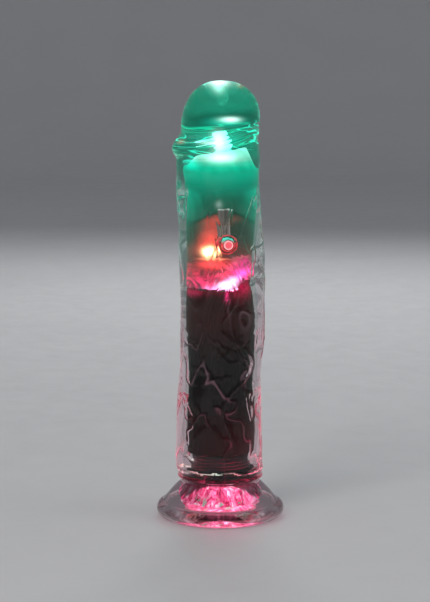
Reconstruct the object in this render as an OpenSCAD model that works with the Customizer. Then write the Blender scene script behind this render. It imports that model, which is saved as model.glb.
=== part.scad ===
// Clear soft novelty on a suction base, lit from inside: an adult product.
// A thick clear sleeve, the soft body, stands over a rigid light unit. The light unit
// screws onto a moulded core in the suction base and holds the cell, boards and lamps.
// Millimetres. The origin is the middle of the face it stands on, +Z is up, and the
// push button faces -Y.

/* [Soft body] */
// Top of the head above the surface it stands on
body_top = 206.5; // [204:0.5:210]
// Mean radius of the shaft
shaft_r = 19.6; // [19:0.1:21]
// Height of the rim's middle
rim_z = 178.5; // [177.5:0.1:179]
// Radius of the dome where it meets the rim
dome_r = 18.4; // [17.5:0.1:19]
// How far the rim stands higher on one side than in the middle
rim_lean = 4.2; // [3:0.1:4.5]
// Direction of the rim's high side, in degrees from +X
rim_dir = -11; // [-30:1:30]
// How far the shaft's axis sways to either side
sway = 0.95; // [0:0.05:1.1]
// Height of the surface relief
relief = 0.3; // [0:0.05:0.4]

/* [Suction base] */
// Outer radius of the flange
flange_r = 30.3; // [29.5:0.1:32]
// Thickness of the flange
flange_h = 8.1; // [7.8:0.1:8.4]
// Radius of the neck that the body stands on
neck_r = 18.6; // [18:0.1:19]
// Height of the top of the neck
neck_z = 19; // [18.8:0.1:19.2]
// Radius of the hollow under the cup, at the surface
cup_r = 23; // [22:0.5:24]
// Depth of that hollow
cup_depth = 6; // [5:0.1:6.5]

/* [Light unit] */
// Outer radius of the rigid capsule
capsule_r = 12.3; // [12.2:0.1:12.5]
// Wall of the capsule
capsule_wall = 1; // [1:0.1:1.2]
// Height where the capsule's shoulder starts
shoulder_z = 165; // [164.6:0.1:165.5]
// Radius of the cell, a common 18 by 65 mm size
cell_r = 9.2; // [9:0.1:9.2]
// Height of the lower end of the cell
cell_z = 35; // [34:0.1:35.6]
// Height of the middle board, which carries the amber lamp
amber_z = 123.1; // [122.8:0.1:123.5]
// Height of the lower board, which carries the rose lamp
rose_z = 107.5; // [107:0.1:107.8]

/* [Push button] */
// Height of the button's axis
button_z = 131.5; // [131:0.1:131.8]
// Radius of the button's cap
button_r = 2.15; // [2:0.05:2.2]
// Travel of the button
button_travel = 0.8; // [0.4:0.1:0.9]

/* [Fits] */
// Radial clearance between the capsule and the soft body
sleeve_gap = 0.15; // [0.12:0.01:0.3]
// Radial clearance of a running fit
running_gap = 0.1; // [0.08:0.01:0.1]
// How far the light unit rises as it is unscrewed
unit_rise = 3; // [1:0.5:3]

/* [Hidden] */

$fn = 96;
cut = 0.5;            // how far a cutting shape runs past the face it cuts
body_z = neck_z + 0.2;
bore_r = capsule_r + sleeve_gap;
capsule_in_r = capsule_r - capsule_wall;
board_h = 1.2;
core_foot_z = 5.2;
core_foot_r = 15.5;
core_neck_r = 9.6;
core_neck_z = 17.5;
collar_h = 1.5;
collar_z = neck_z + collar_h;
boss_r = 9.8;
boss_top = 30.5;
boss_bore_r = 7.6;
boss_ledge_z = 24;
boss_ledge_r = 6.6;
boss_floor_z = 15.5;
spigot_r = 8.4;
spigot_z = 16.5;
seal_z = 23;
seal_wire = 0.7;
tube_z = collar_z + 0.2;
thread_top = 31;
tube_top = 164.2;
shoulder_r = 8.3;
shoulder_top = 173.8;
crown_wall = 1.4;
crown_skirt_z = 159;
crown_seal_z = 162.5;
head_board_z = 167.6;
led_r = 2.5;
led_rim_r = 2.9;
led_rim_h = 1;
head_led_h = 8.6;
low_led_h = 5.4;
low_led_x = 4.2;
low_led_y = -1.2;
cell_h = 64.8;
cell_nub_r = 3;
cell_nub_h = 0.7;
wrap_in_r = 9.5;
wrap_out_r = capsule_in_r - 0.15;
wrap_z = thread_top + 0.3;
wrap_top = rose_z + 2.4;
slot_x = 4.3;
slot_y = 6.7;
post_places = [[7.2, 2.6], [-7.2, 2.6], [0, -7]];
reflector_z = 139.8;
reflector_r = 10.55;
reflector_h = 7.5;
guide_r = 2.5;
guide_y = -7.4;
diffuser_out_r = capsule_in_r - 0.1;
diffuser_in_r = diffuser_out_r - 0.4;
diffuser_z = wrap_top + 0.3;
diffuser_top = crown_skirt_z - 0.2;
button_face_y = -20.1;
button_shoulder_y = -17.5;
button_tip_y = -capsule_r - 0.05 - button_travel;
button_stem_r = 1.5;
bezel_r = 3;
bezel_front_y = -19.9;
bezel_flange_r = 4.6;
bezel_flange_y = -16;
bezel_back_y = -14.5;
ledge_y = -15.3;
clip_y = -14.3;
boot_y = -12.2;
boot_h = 0.9;
boot_nub = 0.18;
switch_front_y = -8.6;
switch_back_y = -5;

// ---- shared shapes ----

// A cylinder along +Y between two y values, on the button's axis.
module along_y(r, y0, y1) {
    translate([0, y0, button_z]) rotate([-90, 0, 0]) cylinder(r = r, h = y1 - y0);
}

// A disc board with a notch at the back for the spine board.
module notched_disc(r, z, h) {
    difference() {
        translate([0, 0, z]) cylinder(r = r, h = h);
        translate([-slot_x, slot_y, z - cut]) cube([2 * slot_x, r, h + 2 * cut]);
    }
}

// A ring of round section.
module o_ring(middle_r, wire, z) {
    translate([0, 0, z]) rotate_extrude() translate([middle_r, 0]) circle(r = wire, $fn = 24);
}

// A coil spring along +Z from z = 0, from radius r0 at its foot to r1 at its top.
module coil_spring(r0, r1, h, turns, wire) {
    sides = 6;
    steps = turns * 14;
    rise = h - 2 * wire;
    centre = function(t) let (r = r0 + (r1 - r0) * t, a = 360 * turns * t)
        [r * cos(a), r * sin(a), wire + rise * t];
    rings = [for (i = [0:steps]) for (k = [0:sides - 1])
        let (t = i / steps, a = 360 * turns * t, b = 360 * k / sides, c = centre(t))
            c + wire * [cos(b) * cos(a), cos(b) * sin(a), sin(b)]];
    walls = [for (i = [0:steps - 1]) for (k = [0:sides - 1])
        let (a = i * sides + k, b = i * sides + (k + 1) % sides)
            [a, a + sides, b + sides, b]];
    ends = [[for (k = [0:sides - 1]) k], [for (k = [sides - 1:-1:0]) steps * sides + k]];
    polyhedron(points = rings, faces = concat(walls, ends), convexity = 6);
}

// A round-topped lamp standing on z = 0.
module lamp(h) {
    cylinder(r = led_rim_r, h = led_rim_h);
    cylinder(r = led_r, h = h - led_r);
    translate([0, 0, h - led_r]) sphere(r = led_r);
}

// ---- the soft body ----

sides = 40;
lip_z = rim_z + 6.8;
dome_steps = 7;
dome_fullness = 0.87;   // 1 is an ellipse, and less is fuller at its shoulders

function fade(t) = let (u = min(1, max(0, t))) u * u * (3 - 2 * u);
function bump(x) = exp(-x * x);

// How far the axis lies from the middle at a height, towards the rim's high side.
function axis_at(z) =
    sway * sin(360 * (z - 64) / 138) * fade((z - body_z) / 13) * (1 - fade((z - 168) / 16));

// Radius of the shaft at a height. It swells near the foot and again above the middle.
function shaft_at(z) = shaft_r + 1 * bump((z - 33) / 20) - 0.35 * bump((z - 70) / 9)
    + 0.45 * bump((z - 122) / 16) - 0.3 * bump((z - 165) / 12);

// Shallow waves that run round the shaft, none at the foot or on the head.
function relief_at(a, z) =
    relief * (sin(3 * a + 4 * z) + 0.7 * sin(5 * a - 7 * z) + 0.5 * sin(2 * a - 11 * z))
    * fade((z - 24) / 12) * (1 - fade((z - 158) / 10));

// One ring of the surface: [height, radius, share of the rim's lean, sideways shift].
foot_rings = [[body_z, shaft_r + 0.2, 0, 0], [body_z + 0.5, shaft_r + 0.6, 0, 0],
              [body_z + 2.3, shaft_r + 0.8, 0, 0]];
shaft_rings = [for (z = [26:5.6:160.5]) [z, shaft_at(z), 0.35 * fade((z - 135) / 40), 0]];
rim_rings = [for (p = [[-11.5, -0.1, 0.5, 0], [-7.2, -0.35, 0.85, -0.4], [-4.6, -0.5, 1, -1.1],
                       [-3, 0.2, 1, -1.6], [-1.2, 0.65, 1, -2], [0.6, 0.6, 0.95, -2],
                       [2.4, 0, 0.85, -1.5], [4.2, -1, 0.7, -0.9], [5.6, -1.5, 0.6, -0.3]])
    [rim_z + p[0], shaft_r + p[1], p[2], p[3]]];
dome_rings = [for (k = [0:dome_steps]) let (a = 90 * k / (dome_steps + 1))
    [lip_z + (body_top - lip_z) * pow(sin(a), dome_fullness),
     dome_r * pow(cos(a), dome_fullness), 0.5 * (1 - sin(a)), 0.45 * min(1, 1.6 * sin(a))]];
body_rings = concat(foot_rings, shaft_rings, rim_rings, dome_rings);

function body_point(ring, a) =
    let (r = ring[1] + relief_at(a, ring[0]),
         shift = ring[3] + axis_at(ring[0]),
         c = cos(a - rim_dir),
         lift = ring[2] * rim_lean * (c + 0.3 * c * c) * ring[1] / shaft_r)
        [r * cos(a) + shift * cos(rim_dir), r * sin(a) + shift * sin(rim_dir), ring[0] + lift];

module body_outside() {
    count = len(body_rings);
    points = concat(
        [for (ring = body_rings) for (k = [0:sides - 1]) body_point(ring, 360 * k / sides)],
        [[0, 0, body_top]]);
    foot = [for (k = [0:sides - 1]) k];
    walls = [for (i = [0:count - 2]) for (k = [0:sides - 1])
        let (a = i * sides + k, b = i * sides + (k + 1) % sides)
            each [[a, a + sides, b + sides], [a, b + sides, b]]];
    crown = [for (k = [0:sides - 1])
        [(count - 1) * sides + k, count * sides, (count - 1) * sides + (k + 1) % sides]];
    polyhedron(points = points, faces = concat([foot], walls, crown), convexity = 4);
}

// The hollow for the light unit, with room above for it to rise as it is unscrewed.
module body_hollow() {
    lamp_r = led_rim_r + 0.4;
    lamp_top = shoulder_top + head_led_h + unit_rise + 0.6 - lamp_r;
    rotate_extrude() polygon([
        [0, body_z - cut], [bore_r, body_z - cut], [bore_r, shoulder_z + unit_rise + 0.2],
        [shoulder_r + sleeve_gap, shoulder_top + unit_rise + 0.3],
        [lamp_r, shoulder_top + unit_rise + 0.3], [lamp_r, lamp_top], [0, lamp_top]]);
    translate([0, 0, lamp_top]) sphere(r = lamp_r);
}

module soft_body() {
    color([0.85, 0.95, 0.93, 0.35]) difference() {
        body_outside();
        body_hollow();
        along_y(bezel_r + 0.05, -shaft_r - 5, bezel_back_y + 0.05);
        along_y(bezel_flange_r + 0.05, bezel_flange_y - 0.05, bezel_back_y + 0.05);
        along_y(2.6, bezel_back_y, -10);
    }
}

// ---- the push button ----

module button_bezel() {
    color([0.75, 0.8, 0.82]) difference() {
        union() {
            along_y(bezel_r, bezel_front_y, bezel_back_y);
            along_y(bezel_flange_r, bezel_flange_y, bezel_back_y);
        }
        along_y(button_r + running_gap, bezel_front_y - cut, ledge_y);
        along_y(button_stem_r + running_gap, ledge_y - cut, bezel_back_y + cut);
    }
}

module push_button() {
    dish_r = 1.1;
    color([0.9, 0.5, 0.5]) difference() {
        union() {
            along_y(button_r, button_face_y, button_shoulder_y);
            along_y(button_stem_r, button_shoulder_y, button_tip_y);
        }
        along_y(dish_r, button_face_y - cut, button_face_y + 0.35);
        difference() {
            along_y(button_stem_r + cut, clip_y - 0.05, clip_y + 0.45);
            along_y(button_stem_r - 0.3, clip_y - cut, clip_y + 1);
        }
    }
}

// A C-shaped clip in the groove of the stem, which keeps the button from falling out.
module button_clip() {
    color("silver") difference() {
        along_y(2.3, clip_y, clip_y + 0.4);
        along_y(button_stem_r - 0.25, clip_y - cut, clip_y + 1);
        translate([-0.9, clip_y - cut, button_z - 3]) cube([1.8, 2, 3]);
    }
}

module button_spring() {
    color("silver") translate([0, button_shoulder_y, button_z]) rotate([-90, 0, 0])
        coil_spring(1.86, 1.86, ledge_y - button_shoulder_y, 4, 0.15);
}

// ---- the suction base ----

module suction_base() {
    round_r = flange_h / 2;
    sphere_r = (cup_r * cup_r + cup_depth * cup_depth) / (2 * cup_depth);
    color([0.9, 0.8, 0.84, 0.35]) difference() {
        rotate_extrude() {
            translate([flange_r - round_r, round_r]) circle(r = round_r);
            polygon([
                [0, 0], [flange_r - round_r, 0], [flange_r - round_r, flange_h],
                [27, flange_h + 0.3], [25.3, 10.2], [23.3, 12.6], [20.6, 15.4],
                [neck_r, 17.3], [neck_r, neck_z], [0, neck_z]]);
        }
        translate([0, 0, cup_depth - sphere_r]) sphere(r = sphere_r, $fn = 160);
        core_outside(neck_z + cut);
    }
}

// The outside of the hard cone up to a height. Its underside follows the cup's hollow.
module core_outside(top) {
    rotate_extrude() polygon([
        [0, core_foot_z + 2.4], [core_foot_r - 6.5, core_foot_z + 1.7],
        [core_foot_r - 0.3, core_foot_z], [core_foot_r, core_foot_z + 0.5],
        [core_neck_r, core_neck_z], [core_neck_r, top], [0, top]]);
}

// The hard cone moulded into the base, fluted all round, with a socket in its top.
module base_core() {
    flutes = 16;
    lean = atan((core_foot_r - core_neck_r) / (core_neck_z - core_foot_z));
    color([0.95, 0.6, 0.75]) difference() {
        core_outside(neck_z);
        translate([0, 0, spigot_z]) cylinder(r = spigot_r, h = neck_z);
        translate([0, 0, boss_floor_z]) cylinder(r = boss_ledge_r, h = neck_z);
        for (k = [0:flutes - 1]) rotate([0, 0, 360 * k / flutes])
            translate([core_foot_r + 0.4, 0, core_foot_z - cut]) rotate([0, -lean, 0])
                cylinder(r = 0.9, h = 10, $fn = 24);
    }
}

// The boss that the light unit screws onto. Its collar carries the soft body's foot,
// and its spigot is bonded into the hard cone.
module thread_boss() {
    color([0.3, 0.1, 0.13]) difference() {
        union() {
            translate([0, 0, spigot_z]) cylinder(r = spigot_r, h = neck_z - spigot_z);
            translate([0, 0, neck_z]) cylinder(r = capsule_r, h = collar_h);
            translate([0, 0, collar_z]) cylinder(r = boss_r, h = boss_top - collar_z);
        }
        translate([0, 0, boss_ledge_z]) cylinder(r = boss_bore_r, h = boss_top);
        translate([0, 0, spigot_z - cut]) cylinder(r = boss_ledge_r, h = boss_top);
    }
}

module contact_board() {
    color("seagreen") translate([0, 0, boss_ledge_z]) cylinder(r = boss_bore_r - 0.1, h = board_h);
}

// A flat lamp under the contact board, which shines down into the hard cone.
module base_led() {
    size = 5;
    thick = 1.6;
    color([1, 0.35, 0.6]) translate([-size / 2, -size / 2, boss_ledge_z - thick])
        cube([size, size, thick]);
}

module contact_spring() {
    foot = boss_ledge_z + board_h;
    color("gold") translate([0, 0, foot]) coil_spring(5.6, 3.2, cell_z - foot, 5, 0.4);
}

module boss_seal() {
    color([0.15, 0.15, 0.15]) o_ring(boss_r + seal_wire + 0.03, seal_wire, seal_z);
}

// ---- the light unit ----

module capsule_tube() {
    color([0.85, 0.95, 0.95, 0.4]) difference() {
        translate([0, 0, tube_z]) cylinder(r = capsule_r, h = tube_top - tube_z);
        translate([0, 0, tube_z - cut]) cylinder(r = boss_r + running_gap, h = thread_top);
        translate([0, 0, seal_z - 0.8]) cylinder(r = boss_r + 2 * seal_wire + 0.08, h = 1.6);
        translate([0, 0, thread_top]) cylinder(r = capsule_in_r, h = tube_top);
        along_y(2.5, -capsule_r - cut, -capsule_in_r + 1);
    }
}

module capsule_crown() {
    skirt_r = capsule_in_r - 0.05;
    color([0.85, 0.98, 0.94, 0.7]) difference() {
        rotate_extrude() polygon([
            [skirt_r - crown_wall, crown_skirt_z], [skirt_r, crown_skirt_z], [skirt_r, tube_top],
            [capsule_r, tube_top], [capsule_r, shoulder_z], [shoulder_r, shoulder_top],
            [1.8, shoulder_top], [1.8, shoulder_top - crown_wall],
            [shoulder_r - 1, shoulder_top - crown_wall], [skirt_r - crown_wall, shoulder_z]]);
        translate([0, 0, crown_seal_z - 0.6]) difference() {
            cylinder(r = skirt_r + cut, h = 1.2);
            translate([0, 0, -cut]) cylinder(r = skirt_r - 0.75, h = 3);
        }
    }
}

module crown_seal() {
    color([0.85, 0.95, 0.93, 0.5]) o_ring(capsule_in_r - 0.4, 0.38, crown_seal_z);
}

// The frosted sleeve, with a window over the button's switch and the light guide.
module diffuser() {
    window_r = 3.2;
    color([0.8, 1, 0.95, 0.5]) difference() {
        translate([0, 0, diffuser_z]) cylinder(r = diffuser_out_r, h = diffuser_top - diffuser_z);
        translate([0, 0, diffuser_z - cut]) cylinder(r = diffuser_in_r, h = diffuser_top);
        along_y(window_r, -diffuser_out_r - 1, -8);
        translate([-window_r, -diffuser_out_r - 1, button_z])
            cube([2 * window_r, 4, reflector_z + reflector_h + 0.4 - button_z]);
    }
}

module head_led() {
    color([0.3, 1, 0.75]) translate([0, 0, shoulder_top]) lamp(head_led_h);
}

module head_leads() {
    foot = head_board_z + board_h;
    color("silver") for (x = [-1.27, 1.27])
        translate([x, 0, foot]) cylinder(r = 0.25, h = shoulder_top - foot, $fn = 16);
}

module head_board() {
    color("seagreen") translate([0, 0, head_board_z]) cylinder(r = 8.2, h = board_h);
}

// A domed translucent shade that parts the green light from the amber.
module reflector() {
    wall = 0.8;
    hole_r = 1.6;
    steps = 10;
    ball_r = (reflector_r * reflector_r + reflector_h * reflector_h) / (2 * reflector_h);
    ball_z = reflector_z + reflector_h - ball_r;
    dome = function(r, low, high) [for (k = [0:steps])
        let (a = low + (high - low) * k / steps) [r * cos(a), ball_z + r * sin(a)]];
    color([0.85, 0.9, 0.9, 0.7]) difference() {
        rotate_extrude() polygon(concat(
            dome(ball_r, asin((reflector_z - ball_z) / ball_r), acos(hole_r / ball_r)),
            dome(ball_r - wall, acos(hole_r / (ball_r - wall)),
                 asin((reflector_z - ball_z) / (ball_r - wall)))));
        translate([-slot_x, slot_y, reflector_z - cut]) cube([2 * slot_x, 6, 10]);
        translate([0, guide_y, reflector_z - cut]) cylinder(r = guide_r + 0.1, h = 10);
    }
}

// A clear tube through the shade that carries light down to the button.
module light_guide() {
    foot = button_z + 3.2;
    color([0.8, 0.95, 0.95, 0.6]) translate([0, guide_y, foot]) difference() {
        cylinder(r = guide_r, h = reflector_z + reflector_h - foot);
        translate([0, 0, 1]) cylinder(r = guide_r - 0.6, h = 20);
    }
}

module switch_boot() {
    color([0.9, 0.4, 0.45]) {
        along_y(2.4, boot_y, boot_y + boot_h);
        along_y(0.9, boot_y - boot_nub, boot_y);
    }
}

module switch_stem() {
    color("dimgray") along_y(0.9, boot_y + boot_h, switch_front_y + 0.2);
}

module tact_switch() {
    half = 3;
    color([0.12, 0.12, 0.12]) difference() {
        translate([-half, switch_front_y, button_z - half])
            cube([2 * half, switch_back_y - switch_front_y, 2 * half]);
        along_y(0.9 + running_gap, switch_front_y - cut, switch_front_y + 1.6);
    }
}

module switch_bracket() {
    foot = amber_z + board_h;
    color("silver") translate([-2.6, switch_back_y, foot]) cube([5.2, 1, button_z + 3 - foot]);
}

module amber_board() {
    color([0.8, 0.85, 0.85, 0.6]) difference() {
        notched_disc(10.4, amber_z, board_h);
        for (p = post_places) translate([p[0], p[1], amber_z - cut]) cylinder(r = 0.65, h = 3, $fn = 24);
    }
}

module amber_led() {
    color([1, 0.6, 0.2]) translate([-low_led_x, low_led_y, amber_z + board_h]) lamp(low_led_h);
}

module board_standoffs() {
    foot = rose_z + board_h;
    color([0.8, 0.95, 0.95, 0.6]) for (p = post_places) translate([p[0], p[1], foot]) difference() {
        cylinder(r = 1.2, h = amber_z - foot, $fn = 24);
        translate([0, 0, amber_z - foot - 4]) cylinder(r = 0.55, h = 5, $fn = 24);
    }
}

module board_screws() {
    top = amber_z + board_h;
    color("silver") for (p = post_places) translate([p[0], p[1], top]) difference() {
        union() {
            cylinder(r = 1.35, h = 0.8, $fn = 32);
            translate([0, 0, -board_h - 3]) cylinder(r = 0.5, h = board_h + 3, $fn = 24);
        }
        translate([-1.5, -0.15, 0.4]) cube([3, 0.3, 1]);
    }
}

module rose_board() {
    color("seagreen") notched_disc(9.3, rose_z, board_h);
}

module rose_led() {
    color([1, 0.3, 0.7]) translate([low_led_x, low_led_y, rose_z + board_h]) lamp(low_led_h);
}

module contact_pad() {
    color("gold") translate([0, 0, rose_z - 0.4]) cylinder(r = 4.5, h = 0.4);
}

module positive_spring() {
    foot = cell_z + cell_h + cell_nub_h;
    color("gold") translate([0, 0, foot]) coil_spring(2.2, 3.6, rose_z - 0.4 - foot, 4, 0.3);
}

module battery_cell() {
    color([0.2, 0.25, 0.3]) translate([0, 0, cell_z]) {
        cylinder(r = cell_r, h = cell_h);
        translate([0, 0, cell_h]) cylinder(r = cell_nub_r, h = cell_nub_h);
    }
}

// The dark cloth rolled round the cell.
module cell_wrap() {
    color([0.2, 0.02, 0.08]) translate([0, 0, wrap_z]) difference() {
        cylinder(r = wrap_out_r, h = wrap_top - wrap_z);
        translate([0, 0, -cut]) cylinder(r = wrap_in_r, h = wrap_top);
    }
}

module spine_board() {
    foot = 102;
    color("seagreen") translate([-4, slot_y + 0.3, foot]) cube([8, 1.2, head_board_z - foot - 0.2]);
}

// The driver chip, its choke and small parts on the front of the spine board.
module spine_parts() {
    face = slot_y + 0.3;
    color([0.1, 0.1, 0.1]) {
        translate([-2.5, face - 1.2, 112]) cube([5, 1.2, 4]);
        translate([0, face, 133]) rotate([90, 0, 0]) cylinder(r = 2, h = 1.8);
        for (z = [126, 137.5, 152, 156]) for (x = [-2.6, 1.2])
            translate([x, face - 0.6, z]) cube([1.6, 0.6, 0.9]);
    }
}

suction_base();
base_core();
thread_boss();
contact_board();
base_led();
contact_spring();
boss_seal();
soft_body();
button_bezel();
push_button();
button_clip();
button_spring();
capsule_tube();
capsule_crown();
crown_seal();
diffuser();
head_led();
head_leads();
head_board();
reflector();
light_guide();
switch_boot();
switch_stem();
tact_switch();
switch_bracket();
amber_board();
amber_led();
board_standoffs();
board_screws();
rose_board();
rose_led();
contact_pad();
positive_spring();
battery_cell();
cell_wrap();
spine_board();
spine_parts();
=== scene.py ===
"""The looks of a clear, lit adult product on a suction base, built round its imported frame.

Lengths are metres and angles radians, unless a name ends in _MM or a docstring says
otherwise. +Z is up, and the push button faces -Y. The soft body, the suction base, the
button's spring and the cloth round the cell are modelled here. Every other piece is the
frame's own node with a material of its own.
"""
import math

import bmesh
import bpy
import numpy as np
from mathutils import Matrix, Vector


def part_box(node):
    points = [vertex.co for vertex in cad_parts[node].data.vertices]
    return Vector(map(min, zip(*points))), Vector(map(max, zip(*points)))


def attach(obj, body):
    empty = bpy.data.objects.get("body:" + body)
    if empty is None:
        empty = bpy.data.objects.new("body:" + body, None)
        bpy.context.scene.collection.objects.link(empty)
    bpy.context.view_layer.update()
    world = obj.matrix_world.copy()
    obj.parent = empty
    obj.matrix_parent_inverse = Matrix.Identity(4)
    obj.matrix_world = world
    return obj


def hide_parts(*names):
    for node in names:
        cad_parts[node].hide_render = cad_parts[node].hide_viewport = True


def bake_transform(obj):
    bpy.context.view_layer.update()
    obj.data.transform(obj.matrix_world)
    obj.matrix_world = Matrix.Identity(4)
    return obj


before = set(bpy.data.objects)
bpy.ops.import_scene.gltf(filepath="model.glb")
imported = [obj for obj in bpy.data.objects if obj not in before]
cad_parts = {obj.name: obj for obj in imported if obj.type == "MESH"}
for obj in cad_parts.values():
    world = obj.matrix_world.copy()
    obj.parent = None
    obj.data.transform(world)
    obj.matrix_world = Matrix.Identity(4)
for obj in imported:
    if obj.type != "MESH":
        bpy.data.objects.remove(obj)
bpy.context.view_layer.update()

MM = 0.001
TURN = 2 * math.pi


# ---- places taken from the frame ----

def middle(node):
    low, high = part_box(node)
    return (low + high) / 2


BODY_LOW, BODY_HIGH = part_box("soft_body")
BASE_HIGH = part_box("suction_base")[1]
CORE_LOW, CORE_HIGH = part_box("base_core")
WRAP_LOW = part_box("cell_wrap")[0]
TUBE_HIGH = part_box("capsule_tube")[1]
BEZEL_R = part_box("button_bezel")[1].x
HEAD_LAMP = middle("head_led")
AMBER_LAMP = middle("amber_led")
ROSE_LAMP = middle("rose_led")
BUTTON_Z = middle("push_button").z
HEIGHT = BODY_HIGH.z


# ---- the camera, the lights and the stage ----

CAMERA_AZIMUTH = math.radians(-10.8)
CAMERA_DISTANCE = 0.9
CAMERA_HEIGHT = 0.2226
AIM_HEIGHT = 0.1031
STANDS_RIGHT = 0.0025      # how far right of the frame's middle the object stands
LENS_MM = 115.1
SENSOR_MM = 36


def add_camera():
    back = Vector((math.sin(CAMERA_AZIMUTH), -math.cos(CAMERA_AZIMUTH), 0))
    right = Vector((math.cos(CAMERA_AZIMUTH), math.sin(CAMERA_AZIMUTH), 0))
    data = bpy.data.cameras.new("camera")
    data.lens = LENS_MM
    data.sensor_width = SENSOR_MM
    camera = bpy.data.objects.new("camera", data)
    bpy.context.scene.collection.objects.link(camera)
    aside = -STANDS_RIGHT * right
    camera.location = back * CAMERA_DISTANCE + aside + Vector((0, 0, CAMERA_HEIGHT))
    aim = aside + Vector((0, 0, AIM_HEIGHT))
    camera.rotation_euler = (aim - camera.location).to_track_quat("-Z", "Y").to_euler()
    bpy.context.scene.camera = camera


def add_softbox(name, place, size, power, colour):
    """A square area light at place that faces the middle of the object."""
    data = bpy.data.lights.new(name, "AREA")
    data.shape = "SQUARE"
    data.size = size
    data.energy = power
    data.color = colour
    lamp = bpy.data.objects.new(name, data)
    bpy.context.scene.collection.objects.link(lamp)
    lamp.location = place
    towards = Vector((0, 0, HEIGHT / 2)) - lamp.location
    lamp.rotation_euler = towards.to_track_quat("-Z", "Y").to_euler()
    lamp.visible_glossy = False
    lamp.visible_transmission = False


def add_lights():
    add_softbox("key", (-0.75, -0.75, 0.85), 0.6, 7.0, (1, 0.98, 0.96))
    add_softbox("fill", (0.95, -0.45, 0.55), 0.7, 2.6, (0.96, 0.98, 1.0))
    add_softbox("rim", (0.25, 0.95, 0.75), 0.6, 5.0, (0.97, 0.99, 1.0))
    world = bpy.data.worlds.new("studio")
    bpy.context.scene.world = world
    world.use_nodes = True
    background = world.node_tree.nodes["Background"].inputs
    background["Color"].default_value = (0.9, 0.93, 1, 1)
    background["Strength"].default_value = 0.3


# ---- mesh helpers ----

def mesh_object(name, points, faces):
    mesh = bpy.data.meshes.new(name)
    mesh.from_pydata([tuple(p) for p in points], [], faces)
    mesh.validate()
    shaped = bmesh.new()
    shaped.from_mesh(mesh)
    bmesh.ops.recalc_face_normals(shaped, faces=shaped.faces)
    shaped.to_mesh(mesh)
    shaped.free()
    mesh.polygons.foreach_set("use_smooth", [True] * len(mesh.polygons))
    piece = bpy.data.objects.new(name, mesh)
    bpy.context.scene.collection.objects.link(piece)
    return piece


def tube_faces(rows, sides, around=True):
    """Quads between rows of points. around closes each row on itself."""
    last = sides if around else sides - 1
    return [(i * sides + k, i * sides + (k + 1) % sides,
             (i + 1) * sides + (k + 1) % sides, (i + 1) * sides + k)
            for i in range(rows - 1) for k in range(last)]


def lathe(name, outline, sides):
    """A solid of revolution. outline runs from the axis to the axis as (radius, height)."""
    inner = outline[1:-1]
    angles = [TURN * k / sides for k in range(sides)]
    points = [(r * math.cos(a), r * math.sin(a), z) for r, z in inner for a in angles]
    first, last = len(points), len(points) + 1
    points += [(0, 0, outline[0][1]), (0, 0, outline[-1][1])]
    faces = tube_faces(len(inner), sides)
    top = (len(inner) - 1) * sides
    faces += [(first, (k + 1) % sides, k) for k in range(sides)]
    faces += [(last, top + k, top + (k + 1) % sides) for k in range(sides)]
    return mesh_object(name, points, faces)


def arc(centre, radius, start, end, steps):
    """Points of a circle's arc, from start to end in degrees."""
    angles = np.radians(np.linspace(start, end, steps + 1))
    return [(centre[0] + radius * math.cos(a), centre[1] + radius * math.sin(a)) for a in angles]


def smooth_rows(rows, steps):
    """Catmull-Rom through rows of values, with steps between each pair."""
    rows = np.array(rows, float)
    padded = np.vstack([2 * rows[0] - rows[1], rows, 2 * rows[-1] - rows[-2]])
    found = []
    for i in range(1, len(rows)):
        a, b, c, d = padded[i - 1:i + 3]
        for t in np.arange(steps) / steps:
            found.append(0.5 * (2 * b + (c - a) * t + (2 * a - 5 * b + 4 * c - d) * t * t
                                + (3 * b - a - 3 * c + d) * t ** 3))
    return np.array(found + [rows[-1]])


def carve(piece, cutters):
    """Cuts the cutters out of a closed piece, and removes them."""
    for cutter in cutters:
        cut = piece.modifiers.new("cut", "BOOLEAN")
        cut.operation = "DIFFERENCE"
        cut.solver = "MANIFOLD"
        cut.object = cutter
    bpy.context.view_layer.update()
    graph = bpy.context.evaluated_depsgraph_get()
    carved = bpy.data.meshes.new_from_object(piece.evaluated_get(graph))
    piece.modifiers.clear()
    piece.data = carved
    for cutter in cutters:
        bpy.data.objects.remove(cutter)


def sharpen(piece, degrees):
    """Smooth shading that breaks at edges sharper than degrees."""
    piece.data.polygons.foreach_set("use_smooth", [True] * len(piece.data.polygons))
    piece.data.set_sharp_from_angle(angle=math.radians(degrees))


def along_y(name, radius, near, far):
    """A solid cylinder on the button's axis."""
    rod = lathe(name, [(0, near), (radius, near), (radius, far), (0, far)], 64)
    for v in rod.data.vertices:
        x, y, z = v.co
        v.co = (x, z, BUTTON_Z - y)
    return rod


def face_centres(piece):
    found = np.empty(len(piece.data.polygons) * 3)
    piece.data.polygons.foreach_get("center", found)
    return found.reshape(-1, 3)


def paint_faces(piece, slots):
    piece.data.polygons.foreach_set("material_index", np.asarray(slots, np.int32))


# ---- materials ----

GUM_IOR = 1.41
AMBER = (1, 0.055, 0.045)
HOT = (1, 0.72, 0.33)
RIM_SLOPE = 0.19           # how fast the rim climbs towards +X
# Under this arch the diffuser's painted green glow gives way to painted shade from the reflector.
ARCH_BEND = 45             # how fast the smoky arch falls away from the middle, per metre


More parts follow.
